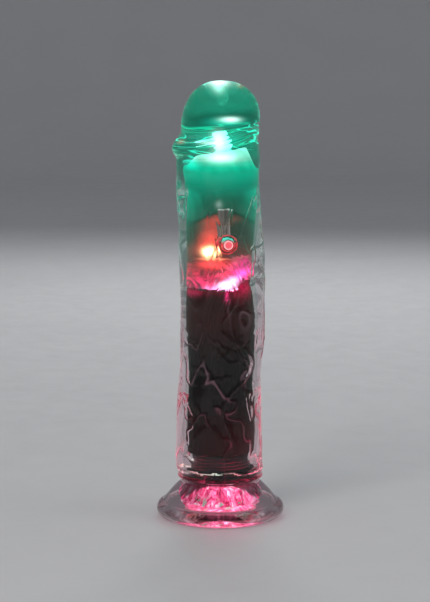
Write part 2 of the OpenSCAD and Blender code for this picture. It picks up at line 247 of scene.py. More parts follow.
class Paint:
    """One material's node tree, with a short call for each kind of node it needs."""

    def __init__(self, name):
        self.mat = bpy.data.materials.new(name)
        self.mat.use_nodes = True
        self.tree = self.mat.node_tree
        self.tree.nodes.clear()
        self.at = self.node("ShaderNodeTexCoord").outputs["Object"]
        parts = self.node("ShaderNodeSeparateXYZ", {0: self.at}).outputs
        self.x, self.y, self.z = parts["X"], parts["Y"], parts["Z"]

    def node(self, kind, sockets=None, **settings):
        made = self.tree.nodes.new(kind)
        for key, value in settings.items():
            setattr(made, key, value)
        for key, value in (sockets or {}).items():
            if isinstance(value, bpy.types.NodeSocket):
                self.tree.links.new(value, made.inputs[key])
            else:
                made.inputs[key].default_value = value
        return made

    def math(self, operation, a, b=0.0):
        return self.node("ShaderNodeMath", {0: a, 1: b}, operation=operation).outputs[0]

    def times(self, found, *others):
        for other in others:
            found = self.math("MULTIPLY", found, other)
        return found

    def plus(self, a, b):
        return self.math("ADD", a, b)

    def minus(self, a, b):
        return self.math("SUBTRACT", a, b)

    def size(self, value):
        """value without its sign."""
        return self.math("ABSOLUTE", value)

    def hypot(self, a, b):
        return self.math("SQRT", self.plus(self.times(a, a), self.times(b, b)))

    def vector(self, operation, a, b, output=0):
        return self.node("ShaderNodeVectorMath", {0: a, 1: b}, operation=operation).outputs[output]

    def dot(self, a, b):
        return self.vector("DOT_PRODUCT", a, b, "Value")

    def noise(self, scale, detail, stretch=(1, 1, 1), distortion=0.0, roughness=0.5):
        place = self.vector("MULTIPLY", self.at, stretch)
        return self.node("ShaderNodeTexNoise", {"Vector": place, "Scale": scale, "Detail": detail,
                         "Distortion": distortion, "Roughness": roughness}).outputs["Fac"]

    def share(self, value, low, high, out_low=0.0, out_high=1.0):
        """value from low to high, as a smooth step from out_low to out_high."""
        return self.node("ShaderNodeMapRange", {"Value": value, "From Min": low, "From Max": high,
                         "To Min": out_low, "To Max": out_high},
                         interpolation_type="SMOOTHSTEP").outputs[0]

    def fall(self, value, low, high):
        """1 below low, falling to 0 at high."""
        return self.share(value, low, high, 1.0, 0.0)

    def ramp(self, value, stops):
        """A colour ramp. stops are (place, colour), with places from 0 to 1."""
        ramp = self.node("ShaderNodeValToRGB", {"Fac": value})
        scale = ramp.color_ramp
        while len(scale.elements) < len(stops):
            scale.elements.new(0.5)
        for element, (place, colour) in zip(scale.elements, stops):
            element.position = place
            element.color = (*colour, 1)
        return ramp.outputs["Color"]

    def up(self, height, stops):
        """A colour ramp over a height in metres. stops are (height in mm, colour)."""
        share = self.math("DIVIDE", height, HEIGHT)
        return self.ramp(share, [(z * MM / HEIGHT, colour) for z, colour in stops])

    def by_height(self, *stops):
        """A colour ramp up the object. stops are (height in mm, colour)."""
        return self.up(self.z, stops)

    def mix(self, share, a, b):
        made = self.node("ShaderNodeMix", data_type="RGBA")
        for socket, value in ((made.inputs[0], share), (made.inputs[6], a), (made.inputs[7], b)):
            if isinstance(value, bpy.types.NodeSocket):
                self.tree.links.new(value, socket)
            else:
                socket.default_value = (*value, 1)
        return made.outputs[2]

    def glow(self, place, reach):
        """1 at place, falling to 0 as a bell curve. reach is its size along x, y and z."""
        off = self.vector("DIVIDE", self.vector("SUBTRACT", self.at, place), reach)
        return self.math("EXPONENT", self.times(self.dot(off, off), -1.0))

    def seen_from_front(self):
        """How far a point is to either side of the middle, and how far towards the front."""
        c, s = math.cos(CAMERA_AZIMUTH), math.sin(CAMERA_AZIMUTH)
        return self.size(self.dot(self.at, (c, s, 0))), self.dot(self.at, (s, -c, 0))

    def tinted(self, amount, colour):
        """colour times amount."""
        return self.node("ShaderNodeVectorMath", {0: colour, "Scale": amount},
                         operation="SCALE").outputs[0]

    def total(self, *colours):
        found = colours[0]
        for colour in colours[1:]:
            found = self.vector("ADD", found, colour)
        return found

    def lights(self, *glows):
        """The sum of glows, each (place in mm, reach in mm, colour, strength)."""
        return self.total(*[
            self.tinted(self.glow([c * MM for c in place], [s * MM for s in reach]),
                        [c * strength for c in colour])
            for place, reach, colour, strength in glows])

    def bump(self, height, distance, strength):
        return self.node("ShaderNodeBump", {"Height": height, "Distance": distance,
                                            "Strength": strength}).outputs["Normal"]

    def principled(self, **sockets):
        """A Principled shader, at full emission where a colour is given without a strength."""
        if "emission_color" in sockets:
            sockets.setdefault("emission_strength", 1.0)
        named = {key.replace("_", " ").title().replace("Ior", "IOR"): value
                 for key, value in sockets.items()}
        return self.node("ShaderNodeBsdfPrincipled", {
            key: (*value, 1) if isinstance(value, tuple) and len(value) == 3 else value
            for key, value in named.items()}).outputs[0]

    def mixed(self, share, first, second):
        return self.node("ShaderNodeMixShader", {0: share, 1: first, 2: second}).outputs[0]

    def see_through(self, colour):
        return self.node("ShaderNodeBsdfTransparent", {"Color": (*colour, 1)}).outputs[0]

    def grazing(self, power):
        """0 where a face is seen straight on, rising to 1 where it is seen edge on."""
        facing = self.node("ShaderNodeLayerWeight", {"Blend": 0.5}).outputs["Facing"]
        return self.math("POWER", facing, power)

    def gum(self, lamp_tint, **sockets):
        """Clear gum that bends light, and lets the light of lamps through."""
        shader = self.principled(ior=GUM_IOR, transmission_weight=1.0, **sockets)
        shadow = self.node("ShaderNodeLightPath").outputs["Is Shadow Ray"]
        return self.done(self.mixed(shadow, shader, self.see_through(lamp_tint)))

    def film(self, share, colour, gloss, **sockets):
        """A face that is looked through, with a share of gloss on it."""
        shine = self.node("ShaderNodeBsdfGlossy", {"Color": (*gloss, 1), **sockets}).outputs[0]
        return self.done(self.mixed(share, self.see_through(colour), shine))

    def surface(self, **sockets):
        return self.done(self.principled(**sockets))

    def done(self, shader):
        self.node("ShaderNodeOutputMaterial", {"Surface": shader})
        return self.mat


def soft_gum():
    """The outer face of the soft body: clear, with green light held in the head. The lamps' light
    is painted on: a tint that is rose low down and green in the head, and glows, highlights and
    glints as emission.
    """
    p = Paint("soft_gum")
    # Painted light: the tint is rose towards the foot and green up into the head, standing for the
    # lamps' light in the gum and the glints on its walls.
    tint = p.by_height((19, (0.93, 0.68, 0.76)), (60, (0.90, 0.76, 0.81)),
                       (100, (0.90, 0.78, 0.83)), (128, (0.80, 0.90, 0.87)),
                       (158, (0.50, 0.86, 0.75)), (172, (0.04, 0.46, 0.28)),
                       (206, (0.01, 0.37, 0.22)))
    # Painted glow: the green light in the head, as emission.
    held = p.by_height((152, (0, 0, 0)), (166, (0, 0.010, 0.007)), (175, (0, 0.055, 0.037)),
                       (181, (0, 0.065, 0.043)), (190, (0, 0.030, 0.019)),
                       (206, (0, 0.080, 0.05)))
    cloud = p.share(p.noise(70, 3, (1, 1, 2.2)), 0.3, 0.7, 0.6, 1.4)
    # Painted highlights and glows: the lamp's light at the top of the dome, highlights and
    # reflections on the front of the head, and a red patch on the rim.
    lit = p.lights(((-1.6, -5, 206.2), (4.2, 6, 2.6), (0.85, 1, 0.96), 1.5),
                   ((-3, -10, 203), (2.4, 5, 2.6), (0.5, 1, 0.85), 0.8),
                   ((7.5, -4, 204), (2, 5, 1.2), (1, 0.32, 0.20), 0.30),
                   ((1.2, -17.5, 189), (4, 5, 1.1), (0.75, 1, 0.93), 1.5),
                   ((-0.5, -17.8, 188), (7.5, 7, 1.9), (0, 0.9, 0.6), 0.55),
                   ((-4.6, -18.4, 179), (2.8, 5, 3.8), (0.85, 1, 0.97), 0.9),
                   ((-8.5, -17.5, 178.5), (4.2, 5, 0.8), (0.75, 1, 0.93), 0.7),
                   ((-4, -19, 179.5), (9, 7, 3.2), (0, 0.9, 0.62), 0.35),
                   ((-15.8, -12.1, 168.2), (3.6, 3.6, 2.3), (0, 0.8, 0.56), 0.6),
                   ((-3.8, -19.6, 171.6), (7, 4, 2), (0.8, 1, 0.95), 1),
                   ((-19.5, -6.4, 178.5), (2.4, 3, 0.9), (1, 0.10, 0.07), 0.3),
                   ((-4.3, -19.1, 150.2), (1.5, 4, 1.7), (0.5, 0.62, 0.58), 0.35))
    # Painted glints: lines of green light along the rim.
    lean = p.minus(p.z, p.times(p.x, RIM_SLOPE))
    at_rim = p.times(p.share(lean, 0.1715, 0.1745), p.fall(lean, 0.1835, 0.1865))
    flow = p.size(p.minus(p.noise(46, 2, (0.5, 0.5, 3.0), 1.1), 0.5))
    rim_glints = p.times(p.fall(flow, 0.004, 0.022), at_rim)
    contour = p.size(p.minus(p.noise(52, 2, (1, 1, 0.62), 0.7), 0.5))
    on_shaft = p.fall(p.z, 0.150, 0.158)
    vein = p.times(p.fall(contour, 0, 0.035), on_shaft)
    fine = p.bump(p.plus(vein, p.times(p.noise(90, 1), 0.3)), 0.0005, 0.55)
    patch = p.share(p.noise(60, 2, (1, 1, 0.5)), 0.42, 0.66)
    # Painted edge glow: the walls light up where they are seen edge on, crimson low down and green
    # higher, more on the raised lines.
    wall = p.tinted(p.times(p.grazing(2.6), p.plus(0.30, p.times(vein, 1.6))), p.by_height(
        (19, (0.10, 0.004, 0.015)), (25, (0.46, 0.015, 0.06)), (60, (0.28, 0.012, 0.04)),
        (90, (0.10, 0.02, 0.035)), (118, (0.02, 0.07, 0.05)), (140, (0, 0.24, 0.16)),
        (172, (0, 0.10, 0.07)), (206, (0.03, 0.16, 0.11))))
    # Painted glints: thin lines of light on patches of the raised lines.
    thin = p.times(p.fall(contour, 0, 0.016), on_shaft)
    caught = p.tinted(p.times(thin, patch), p.by_height(
        (22, (0.30, 0.02, 0.06)), (45, (0.10, 0.025, 0.04)), (80, (0.07, 0.052, 0.065)),
        (118, (0.04, 0.025, 0.03)), (135, (0, 0.03, 0.02)), (158, (0, 0.08, 0.05))))
    light = p.total(p.tinted(cloud, held), lit, wall, caught,
                    p.tinted(rim_glints, (0.02, 0.75, 0.5)))
    return p.gum((0.86, 0.95, 0.92), base_color=tint, roughness=0.035, emission_color=light,
                 normal=fine)


def lit_ledge():
    """The step round the foot of the body, where light from the base gets out."""
    p = Paint("lit_ledge")
    broken = p.share(p.noise(260, 3, (1, 1, 0.4)), 0.36, 0.62, 0.12, 1.3)
    side = p.share(p.x, -0.018, 0.016)
    colour = p.ramp(side, [(0, (0.75, 0.38, 0.42)), (0.35, (0.62, 0.78, 0.62)),
                           (0.6, (0.95, 0.40, 0.42)), (1, (1, 0.10, 0.22))])
    return p.gum((0.92, 0.86, 0.88), base_color=(0.95, 0.8, 0.85), roughness=0.06,
                 emission_color=p.tinted(broken, colour), emission_strength=0.8)


def wetted_face(name, colour, shine=0.25):
    """A face pressed against clear plastic: it neither bends light nor hides anything."""
    p = Paint(name)
    return p.film(p.times(p.grazing(5.0), shine), colour, (0.9, 0.96, 0.95), Roughness=0.12)


def base_gum():
    """The outer face of the suction base: clear, faintly rose near the lit core. The rose tint and
    the glows on it are painted light from the core.
    """
    p = Paint("base_gum")
    # Painted light: the faint rose tint stands for the core's light in the base.
    tint = p.by_height((0, (0.90, 0.66, 0.73)), (9, (0.94, 0.76, 0.81)), (19, (0.92, 0.62, 0.70)))
    # Painted glow: pools of the core's rose light on the front of the flange.
    lit = p.lights(((0, -26, 3.5), (18, 9, 0.7), (1, 0.22, 0.32), 0.35),
                   ((0, -20, 17.5), (14, 6, 1.1), (1, 0.05, 0.12), 0.16))
    from_axis = p.hypot(p.x, p.y)
    inner_r, outer_r, top = 0.0120, 0.0184, 0.0066     # the lit ring in the cup's ceiling
    ceiling = p.times(p.share(from_axis, inner_r - 0.0010, inner_r + 0.0010),
                      p.fall(p.z, top - 0.0005, top),
                      p.fall(from_axis, outer_r - 0.0007, outer_r + 0.0007))
    # Painted light: the core's light on the cup's ceiling, streaked, shown only on the side towards
    # the front.
    across, toward = p.seen_from_front()
    in_front = p.times(p.share(toward, 0.0045, 0.0090), p.fall(across, 0.0132, 0.0152))
    streak = p.share(p.noise(230, 4, (1, 1, 0.3), 1.8, 0.66), 0.36, 0.62, 0.15, 1.2)
    cup = p.tinted(p.times(ceiling, in_front, streak), (0.50, 0.09, 0.18))
    return p.gum((0.92, 0.80, 0.84), base_color=tint, roughness=0.045,
                 emission_color=p.total(lit, cup), normal=p.bump(p.noise(300, 3), 0.0001, 0.4))


def scratches(p):
    return p.bump(p.noise(900, 2, (1, 1, 0.15)), 0.00004, 0.4)


def capsule_plastic():
    """The capsule's wall: clear, but milky and lit just below the crown."""
    p = Paint("capsule_plastic")
    milky = p.share(p.z, TUBE_HIGH.z - 0.0100, TUBE_HIGH.z - 0.0050)
    edge = p.times(p.grazing(3.0), 0.28)
    veil = p.math("MAXIMUM", p.times(milky, 0.93), p.plus(edge, 0.02))
    glow = p.by_height((20, (0, 0.01, 0.008)), (153, (0, 0.14, 0.09)),
                       (159, (0, 0.25, 0.165)), (164.2, (0, 0.46, 0.31)))
    return p.surface(base_color=p.mix(milky, (0.05, 0.08, 0.07), (0.02, 0.10, 0.07)),
                     roughness=0.12, alpha=veil, ior=1.2, emission_color=glow,
                     normal=scratches(p))


def clear_plastic(name, colour):
    """Hard clear plastic: a tint where it is looked through, and gloss at its edges."""
    p = Paint(name)
    share = p.plus(p.times(p.grazing(2.5), 0.75), 0.05)
    return p.film(share, colour, (0.9, 0.97, 0.96), Roughness=0.08, Normal=scratches(p))


def smoked_boss():
    """The dark screw boss, with faint red light caught on its turned lines."""
    p = Paint("smoked_boss")
    pitch, waver = 0.0016, 0.0009
    turn = p.math("FRACT", p.math("DIVIDE", p.plus(p.z, p.times(p.noise(60, 2), waver)), pitch))
    line = p.fall(p.size(p.minus(turn, 0.5)), 0.05, 0.16)
    patch = p.share(p.noise(130, 3), 0.42, 0.68)
    glow = p.times(patch, 0.5, line)
    return p.surface(base_color=(0.02, 0.006, 0.009), roughness=0.3,
                     emission_color=p.tinted(glow, (0.5, 0.01, 0.05)),
                     normal=p.bump(line, 0.0002, 0.5))


def frosted_crown():
    """The crown: the lamp's light painted on as emission, white where the lamp is near, green
    further down.
    """
    p = Paint("frosted_crown")
    grain = p.noise(1500, 2)
    wisp = p.share(p.noise(120, 3, (1, 1, 0.5)), 0.3, 0.7, 0.75, 1.2)
    lit = p.ramp(p.share(p.z, 0.1585, 0.1740), [
        (0, (0, 0.20, 0.13)), (0.3, (0, 0.38, 0.25)), (0.55, (0, 0.60, 0.41)),
        (0.74, (0.12, 0.82, 0.62)), (0.86, (0.75, 1.0, 0.90)), (1, (1.6, 1.7, 1.65))])
    return p.surface(base_color=(0.01, 0.06, 0.045), alpha=0.97,
                     roughness=p.share(grain, 0.3, 0.7, 0.35, 0.5),
                     emission_color=p.tinted(wisp, lit), emission_strength=1.05,
                     normal=p.bump(grain, 0.00005, 0.4))


def frosted_sleeve():
    """The diffuser: thinner below, with the lamps' light inside it painted on as emission: a hazy
    green glow at the top, dimmer under the reflector's arch, the amber lamp's flame and rose glows
    lower down.
    """
    p = Paint("frosted_sleeve")
    wisp = p.noise(110, 4, (1, 1, 0.6), 0.9)
    streak = p.share(p.noise(95, 4, (1, 1, 1.6), 2.2), 0.36, 0.66, 0.25, 1.55)
    # Painted light and shade: a hazy green glow that fades downwards, with a dark line along the
    # reflector's arch and dimmer light under it, where the reflector shades the green lamp.
    arch = p.plus(p.z, p.times(p.x, p.x, ARCH_BEND))
    under_arch = p.fall(arch, 0.1455, 0.1468)
    glow_by_arch = p.up(arch, (
        (108, (0.004, 0, 0.001)), (122, (0.022, 0.012, 0.012)), (132, (0.030, 0.030, 0.024)),
        (144.5, (0.030, 0.048, 0.036)), (146.3, (0.003, 0.024, 0.017)),
        (147.4, (0.024, 0.085, 0.058)), (153, (0.006, 0.110, 0.070)),
        (159, (0, 0.22, 0.145)), (163, (0, 0.26, 0.17))))
    hazy_glow = p.tinted(p.share(wisp, 0.3, 0.75, 0.7, 1.25), glow_by_arch)
    # Painted edge glow: green where the sleeve is seen edge on, stronger higher up.
    green_edge_glow = p.tinted(p.times(p.grazing(1.6), p.share(p.z, 0.136, 0.148, 0.2, 1.0)),
                          (0, 0.26, 0.165))
    lamp_x, rose_x, front_y = AMBER_LAMP.x / MM, ROSE_LAMP.x / MM, -9.3
    # Painted light: the amber lamp's flame under the arch.
    flame = p.lights(((lamp_x - 2, front_y, 127.7), (2, 6, 1.9), HOT, 7),
                     ((lamp_x - 2, front_y, 129), (3.8, 6, 3), (1, 0.075, 0.045), 1.5),
                     ((lamp_x - 1.4, front_y, 134), (3.6, 6, 4), AMBER, 1.05),
                     ((lamp_x - 0.6, front_y, 141), (4, 6, 3), (0.9, 0.035, 0.03), 0.5),
                     ((lamp_x + 3.5, front_y, 143), (6, 6, 1.6), (0.5, 0.02, 0.02), 0.4),
                     ((lamp_x, 0, 127.5), (16, 14, 3.4), AMBER, 0.14))
    # Painted light: glows on the amber board and below it.
    plate = p.lights(((lamp_x - 1, -10, 124.3), (5.6, 5, 0.5), (1, 0.24, 0.13), 1.4),
                     ((6.8, -8, 125), (4.5, 5, 0.6), (1, 0.16, 0.20), 0.45),
                     ((lamp_x - 1, -10, 121.8), (5.5, 6, 1.8), (1, 0.045, 0.045), 1.7),
                     ((4, -10, 122.6), (2, 5, 1.3), (1, 0.10, 0.20), 0.6),
                     ((1, -10.5, 119.9), (2.2, 5, 1.4), (1, 0.10, 0.20), 0.7),
                     ((-2, -10.5, 117), (2.6, 5, 1.4), (1, 0.09, 0.18), 0.7))
    # Painted light: rose glow round the rose lamp, broken up by noise.
    glow_clouds = p.lights(((0, 0, 113), (17, 17, 3), (1, 0.03, 0.17), 1),
                      ((0, 0, 118.5), (17, 17, 4.2), (0.95, 0.02, 0.08), 0.7),
                      ((7.5, -7, 119.5), (4.2, 6, 3.4), (1, 0.03, 0.32), 1.4))
    # Painted light: bright pink glows near the rose lamp.
    blaze = p.lights(((-4, -10.5, 110.2), (3.4, 5, 1.5), (1, 0.30, 0.66), 2.2),
                     ((0.2, -11, 112.2), (2.8, 5, 1.6), (1, 0.60, 0.90), 3.8),
                     ((3.2, -10.5, 114.6), (2.7, 5, 1.5), (1, 0.38, 0.78), 2.2),
                     ((rose_x + 2.6, -8, 117.2), (2.9, 5, 2.3), (1, 0.08, 0.46), 1.9))
    edge = p.share(p.x, 0.0036, 0.0086, 0.1093, 0.1146)
    above = p.share(p.minus(p.z, edge), -0.0004, 0.0006)
    veil = p.by_height(*[(z, (grey,) * 3) for z, grey in (
        (110, 0.6), (116, 0.78), (135, 0.84), (150, 0.97))])
    light = p.total(hazy_glow, green_edge_glow, p.tinted(under_arch, flame), plate, blaze,
                    p.tinted(streak, glow_clouds))
    return p.surface(base_color=(0.010, 0.022, 0.017), roughness=0.5,
                     alpha=p.times(veil, above), emission_color=light, emission_strength=1.2)


def frosted_shade():
    """The reflector: frosted, but clear in front so that the light guide shows. Its green edge glow
    and the amber lamp's light on it are painted on as emission.
    """
    p = Paint("frosted_shade")
    # Painted light: a green glow at the edges, and the amber lamp's light.
    edge = p.tinted(p.grazing(1.3), (0, 0.22, 0.14))
    lit = p.lights(((AMBER_LAMP.x / MM, -6, 140), (7, 8, 4), AMBER, 0.35))
    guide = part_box("light_guide")[1].x
    beside = p.share(p.size(p.x), guide, guide + 0.0004)
    behind = p.share(p.y, -0.0050, -0.0040)
    veil = p.share(p.math("MAXIMUM", beside, behind), 0.0, 1.0, 0.12, 0.9)
    return p.surface(base_color=(0.02, 0.07, 0.05), roughness=0.42, alpha=veil,
                     emission_color=p.total(edge, lit),
                     normal=p.bump(p.noise(1200, 2), 0.00005, 0.5))


def lamp_plate():
    """The middle board: a frosted plate that the amber lamp lights from on top."""
    p = Paint("lamp_plate")
    grain = p.noise(700, 3)
    lit = p.lights(((AMBER_LAMP.x / MM, -6, 123.8), (5.5, 7, 3), (1, 0.30, 0.08), 2.2),
                   ((6, -6, 123.5), (7, 8, 3), (1, 0.10, 0.12), 0.45))
    return p.surface(base_color=(0.3, 0.2, 0.18), roughness=0.35, alpha=0.9,
                     emission_color=p.tinted(p.share(grain, 0.3, 0.7, 0.7, 1.2), lit),
                     normal=p.bump(grain, 0.0001, 0.5))


def lit_lamp(name, skin, hot, strength, place):
    """A round-topped lamp with its chip glowing through the tinted resin."""
    p = Paint(name)
    chip = (place.x, place.y, place.z + 0.001)
    colour = p.mix(p.glow(chip, (0.0026, 0.0026, 0.0034)), skin, hot)
    return p.surface(base_color=colour, roughness=0.15, ior=1.5, coat_weight=0.5,
                     emission_color=colour, emission_strength=strength,
                     normal=p.bump(p.noise(1800, 2), 0.00003, 0.3))


def solder_mask(name, along):
    """A green board: traces under the mask, with small plated pads."""
    p = Paint(name)
    traces = p.node("ShaderNodeTexBrick", {
        "Vector": p.vector("MULTIPLY", p.at, along), "Scale": 1.0, "Mortar Size": 0.09,
        "Brick Width": 2.6, "Row Height": 0.9, "Mortar Smooth": 0.2, "Bias": 0.0},
        offset=0.37, squash=0.6, squash_frequency=3).outputs["Fac"]
    dots = p.node("ShaderNodeTexVoronoi", {"Vector": p.at, "Scale": 620}).outputs["Distance"]
    pad = p.fall(dots, 0.16, 0.2)
    mask = p.mix(traces, (0.012, 0.12, 0.06), (0.03, 0.24, 0.12))
    worn = p.mix(p.share(p.noise(300, 3), 0.4, 0.7, 0.0, 0.35), mask, (0.02, 0.16, 0.1))
    return p.surface(base_color=p.mix(pad, worn, (0.75, 0.62, 0.32)), metallic=pad,
                     roughness=p.share(pad, 0, 1, 0.38, 0.24), coat_weight=0.2,
                     normal=p.bump(p.plus(traces, pad), 0.00005, 0.6))


def metal(name, colour, dull, roughness, stretch=(1, 1, 1)):
    """Brushed metal with stained patches."""
    p = Paint(name)
    stain = p.share(p.noise(420, 4, stretch), 0.42, 0.72)
    brush = p.noise(2600, 3, stretch)
    return p.surface(
        base_color=p.mix(stain, colour, dull), metallic=1.0,
        roughness=p.share(brush, 0.2, 0.8, roughness * 0.7, roughness * 1.4),
        normal=p.bump(brush, 0.00003, 0.4))


def steel(name):
    return metal(name, (0.66, 0.67, 0.69), (0.42, 0.43, 0.45), 0.26, (1, 1, 4))


def moulded(name, colour, roughness):
    """Moulded plastic or rubber: a fine grain, paler where edges have rubbed."""
    p = Paint(name)
    grain = p.noise(2200, 3)
    wear = p.share(p.noise(260, 4), 0.5, 0.8, 0.0, 0.5)
    pale = tuple(0.75 * c + 0.12 for c in colour)
    return p.surface(
        base_color=p.mix(wear, colour, pale),
        roughness=p.share(grain, 0.25, 0.75, roughness * 0.85, roughness * 1.2),
        normal=p.bump(grain, 0.00004, 0.5))


def from_button_axis(p):
    """How far a point is from the axis that the button moves along."""
    return p.hypot(p.x, p.minus(p.z, BUTTON_Z))


def ring(p, distance, radius, half_width):
    """1 on a circle round the button's axis, and 0 half_width away from it."""
    return p.fall(p.size(p.minus(distance, radius)), half_width * 0.35, half_width)


def bezel_plastic():
    """The clear bezel: its rims catch red light from below and green from above."""
    p = Paint("bezel_plastic")
    away = from_button_axis(p)
    upper = p.share(p.z, BUTTON_Z + 0.0004, BUTTON_Z + 0.0026)
    mottle = p.share(p.noise(500, 2), 0.3, 0.7, 0.6, 1.2)
    outer = ring(p, away, BEZEL_R - 0.0003, 0.0005)
    inner = ring(p, away, BEZEL_R - 0.0016, 0.0005)
    lit = p.math("MAXIMUM", outer, inner)
    inner_colour = p.mix(upper, (0.75, 0.05, 0.06), (0.10, 0.80, 0.62))
    colour = p.mix(outer, inner_colour, (0.80, 0.05, 0.065))
    return p.surface(base_color=(0.03, 0.02, 0.02), roughness=0.18,
                     alpha=p.plus(p.times(lit, 0.6), 0.35),
                     emission_color=p.tinted(p.times(lit, mottle), colour))


def button_cap():
    """The rose push button, glowing all over with painted light, with a pale ring where its edge
    catches the light.
    """
    p = Paint("button_cap")
    rim = ring(p, from_button_axis(p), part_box("push_button")[1].x - 0.0003, 0.0004)
    grain = p.noise(2200, 3)
    # Painted light: the button glows rose all over, paler on the ring at its edge.
    colour = p.mix(rim, (0.85, 0.11, 0.14), (0.95, 0.55, 0.55))
    return p.surface(base_color=(0.5, 0.08, 0.1), roughness=0.3,
                     emission_color=p.tinted(p.share(grain, 0.3, 0.7, 0.6, 0.95), colour),
                     normal=p.bump(grain, 0.00004, 0.5))


def lit_guide():
    """The light guide: clear, greyed by the lamps' light in it, brighter along its edges."""
    p = Paint("lit_guide")
    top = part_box("light_guide")[1].z
    streak = p.share(p.noise(600, 3, (1, 1, 0.12)), 0.35, 0.65, 0.5, 1.25)
    edge = p.plus(p.times(p.grazing(1.6), 0.9), 0.30)
    colour = p.mix(p.share(p.z, top - 0.0008, top - 0.0003), (0.40, 0.29, 0.28), (1, 1, 0.95))
    return p.surface(base_color=(0.03, 0.03, 0.03), roughness=0.2, alpha=0.75,
                     emission_color=p.tinted(p.times(streak, edge), colour))


def lit_core():
    """The hard cone in the base: rose, streaked down its flutes, with glints of green. Its glow,
    the streaked flutes and the glints are painted light, as emission, with painted shade up its
    neck and on its sides as seen from the front.
    """
    p = Paint("lit_core")
    streak = p.noise(230, 5, (1, 1, 0.3), 1.8, 0.66)
    broad = p.noise(75, 3, (1, 1, 0.5), 0.8)
    glint = p.share(p.noise(300, 3, (1, 1, 0.6), 0.4), 0.55, 0.63)
    rose = p.ramp(streak, [(0.3, (0.10, 0.004, 0.02)), (0.42, (0.42, 0.02, 0.09)),
                           (0.50, (0.80, 0.09, 0.27)), (0.58, (0.90, 0.32, 0.55)),
                           (0.68, (1, 0.85, 0.93))])
    low = p.fall(p.z, CORE_LOW.z + 0.0005, CORE_LOW.z + 0.007)
    # Painted glints: green glints low on the core.
    teal_glints = p.times(low, 0.85, glint)
    colour = p.mix(teal_glints, rose, (0.14, 0.46, 0.33))
    # Painted glow: strongest near the front, in broad patches.
    near = p.glow((0, -0.010, 0.0105), (0.013, 0.013, 0.010))
    power = p.plus(p.times(near, 0.75), p.share(broad, 0.3, 0.7, 0.12, 0.55))
    # Painted shade: colour and glow fall away up the neck and on the sides as seen from the front.
    across = p.seen_from_front()[0]
    shaded = p.share(p.plus(p.z, across), 0.0204, 0.0216, 1.0, 0.10)
    neck = p.times(p.share(p.z, 0.0150, 0.0172, 1.0, 0.06), shaded)
    return p.surface(base_color=p.mix(neck, (0.04, 0.002, 0.008), colour),
                     roughness=0.2, ior=1.5, coat_weight=0.4,
                     emission_color=p.tinted(p.times(power, neck), colour),
                     normal=p.bump(streak, 0.0006, 0.8))


def cell_sleeve():
    """Shrink sleeve on the cell, drawn tight, with faint wrinkles round its ends."""
    p = Paint("cell_sleeve")
    low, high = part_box("battery_cell")
    near_end = p.plus(p.fall(p.z, low.z, low.z + 0.004),
                      p.share(p.z, high.z - 0.005, high.z - 0.001))
    pucker = p.times(p.noise(700, 3, (1, 1, 0.1)), near_end)
    bare = p.share(p.z, high.z - 0.0009, high.z - 0.0006)
    skin = p.mix(p.noise(180, 3), (0.03, 0.05, 0.08), (0.05, 0.08, 0.12))
    return p.surface(base_color=p.mix(bare, skin, (0.75, 0.75, 0.74)), metallic=bare,
                     roughness=0.28, coat_weight=0.5,
                     normal=p.bump(pucker, 0.0004, 0.8))


def dark_felt():
    """The cloth round the cell: dark maroon felt, lit along its frayed top by the rose lamp."""
    p = Paint("dark_felt")
    fibre = p.noise(2900, 3, (1, 1, 0.6), 0.4, 0.6)
    clump = p.noise(220, 3)
    base = p.ramp(fibre, [(0.3, (0.004, 0.0006, 0.0012)), (0.7, (0.012, 0.0018, 0.004))])
    faded = p.mix(p.share(clump, 0.45, 0.75, 0.0, 0.5), base, (0.024, 0.005, 0.009))
    lit = p.lights(((8, -8, 111.5), (6.5, 7, 5), (1, 0.01, 0.12), 0.55),
                   ((0.5, -11, 107), (0.7, 4, 2.4), (1, 0.04, 0.24), 1.3),
                   ((-10, 0, 108), (3, 7, 1.8), (1, 0.02, 0.16), 0.5),
                   ((0, 0, 110), (24, 24, 2), (1, 0.02, 0.12), 0.2),
                   ((0, 0, 98), (24, 24, 14), (1, 0.02, 0.08), 0.03),
                   ((6, -6, 34), (16, 16, 16), (1, 0.02, 0.08), 0.03))
    catch = p.share(fibre, 0.35, 0.7, 0.25, 1.3)
    return p.surface(
        base_color=faded, roughness=0.92, specular_ior_level=0.15,
        emission_color=p.tinted(catch, lit),
        normal=p.bump(p.noise(420, 3, (1, 1, 0.7), 0.8), 0.0003, 0.5))


def studio_floor():
    p = Paint("studio_floor")
    tone = p.mix(p.noise(9, 4), (0.60, 0.60, 0.605), (0.66, 0.66, 0.662))
    rough = p.share(p.noise(60, 3), 0.3, 0.7, 0.42, 0.55)
    return p.surface(base_color=tone, roughness=rough)


# ---- the soft body ----

SHAFT_R_MM = 19.6
RIM_Z_MM = 178.5
LIP_Z_MM = RIM_Z_MM + 6.8
DOME_R_MM = 18.4
DOME_FULLNESS = 0.87
RIM_LEAN_MM = 4.2
RIM_DIR = math.radians(-11)
SWAY_MM = 0.95
RELIEF_MM = 0.3
FOOT_Z_MM = BODY_LOW.z / MM
TOP_Z_MM = BODY_HIGH.z / MM
LEDGE_Z_MM = 23.7          # where the smooth foot ends and the relief begins
BODY_SIDES = 256
RING_STEPS = 8
MEANDERS, FOLDS = 13, 60
UNIT_RISE_MM = 3.2         # room over the light unit, for when it unscrews
SHOULDER_Z_MM = 165        # where the hollow starts to narrow, before that room is added
NECK_R_MM = 8.45
LAMP_R_MM = 3.3
CLEAR_MM = 0.05            # the gap round the bezel, and round the core in the base
HOLE_MM = (-26, -14.5)     # the button's three holes, each from front to back along y
SEAT_MM = (-16.05, -14.45)
STEM_HOLE_MM = (-14.6, -9)
STEM_HOLE_R_MM = 2.6
BORE_TOP_MM = 192


def fade(t):
    u = np.clip(t, 0, 1)
    return u * u * (3 - 2 * u)


def hump(x):
    return np.exp(-x * x)


